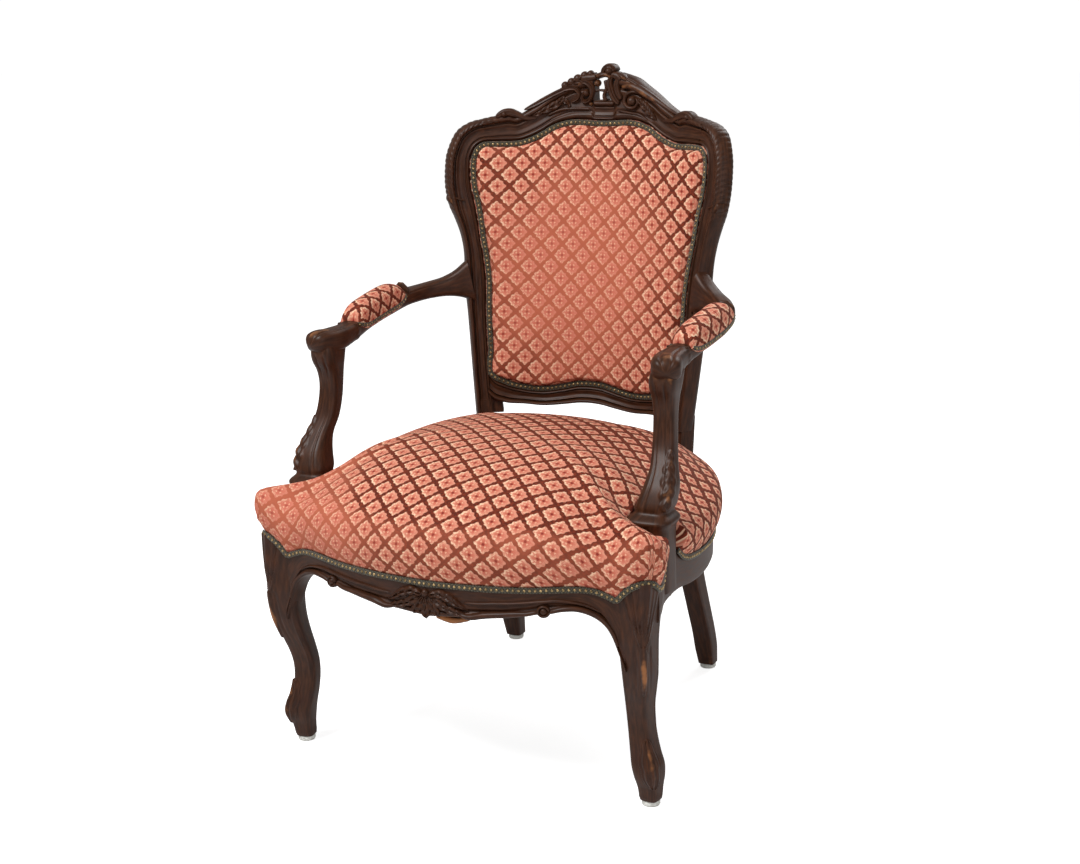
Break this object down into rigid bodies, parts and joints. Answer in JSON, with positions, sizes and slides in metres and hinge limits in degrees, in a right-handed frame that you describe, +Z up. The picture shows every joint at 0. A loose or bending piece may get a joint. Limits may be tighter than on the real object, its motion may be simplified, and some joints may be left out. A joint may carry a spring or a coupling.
{
  "type": "upholstered open armchair",
  "caption": "Open-arm upholstered chair with a carved dark wood frame, a hollow-curved padded back, padded arms, cabriole front legs and a sprung, crowned seat in trellis velvet.",
  "frame": {"origin": "on the floor under the middle of the whole chair", "axes": "+Z up, -Y towards the front of the seat, +X to the viewer's right of a viewer facing the front"},
  "size_m": [0.6476, 0.6672, 0.9795],
  "materials": {
    "show_wood": "dark stain, satin, worn to orange-brown on the edges",
    "raw_wood": "unfinished beech",
    "steel": "plain",
    "glide": "pale, smooth",
    "gimp": "olive braid",
    "stuffing": "matt",
    "hessian": "coarse weave",
    "dust_cloth": "black, matt",
    "velvet": "cut velvet, coral with a brown trellis"
  },
  "bodies": {
    "root": {"rear_leg_stile_right": "show_wood", "rear_leg_stile_left": "show_wood", "crest_rail": "show_wood", "back_bottom_rail": "show_wood", "front_leg_right": "show_wood", "front_leg_left": "show_wood", "front_rail": "show_wood", "side_rail_right": "show_wood", "side_rail_left": "show_wood", "rear_rail": "raw_wood", "arm_support_right": "show_wood", "arm_support_left": "show_wood", "arm_right": "show_wood", "arm_left": "show_wood", "arm_pad_cover_right": "velvet", "arm_pad_cover_left": "velvet", "arm_pad_stuffing_right": "stuffing", "arm_pad_stuffing_left": "stuffing", "seat_cover": "velvet", "seat_stuffing": "stuffing", "seat_hessian": "hessian", "dust_cover": "dust_cloth", "back_cover": "velvet", "back_stuffing": "stuffing", "back_hessian": "hessian", "outside_back_cover": "velvet", "back_gimp": "gimp", "webbing_cross_1": "hessian", "webbing_long_1": "hessian", "webbing_cross_2": "hessian", "webbing_long_2": "hessian", "webbing_cross_3": "hessian", "webbing_long_3": "hessian", "seat_spring_1": "steel", "seat_spring_2": "steel", "seat_spring_3": "steel", "seat_spring_4": "steel", "seat_spring_5": "steel", "front_glide_right": "glide", "front_glide_left": "glide", "rear_glide_right": "glide", "rear_glide_left": "glide", "seat_gimp_front": "gimp", "seat_gimp_side_right": "gimp", "seat_gimp_side_left": "gimp", "arm_gimp_right": "gimp", "arm_gimp_left": "gimp", "corner_block_front_right": "raw_wood", "corner_block_front_left": "raw_wood", "corner_block_rear_right": "raw_wood", "corner_block_rear_left": "raw_wood", "corner_screw_front_right": "steel", "corner_screw_front_left": "steel", "corner_screw_rear_right": "steel", "corner_screw_rear_left": "steel"}
  },
  "joints": []
}
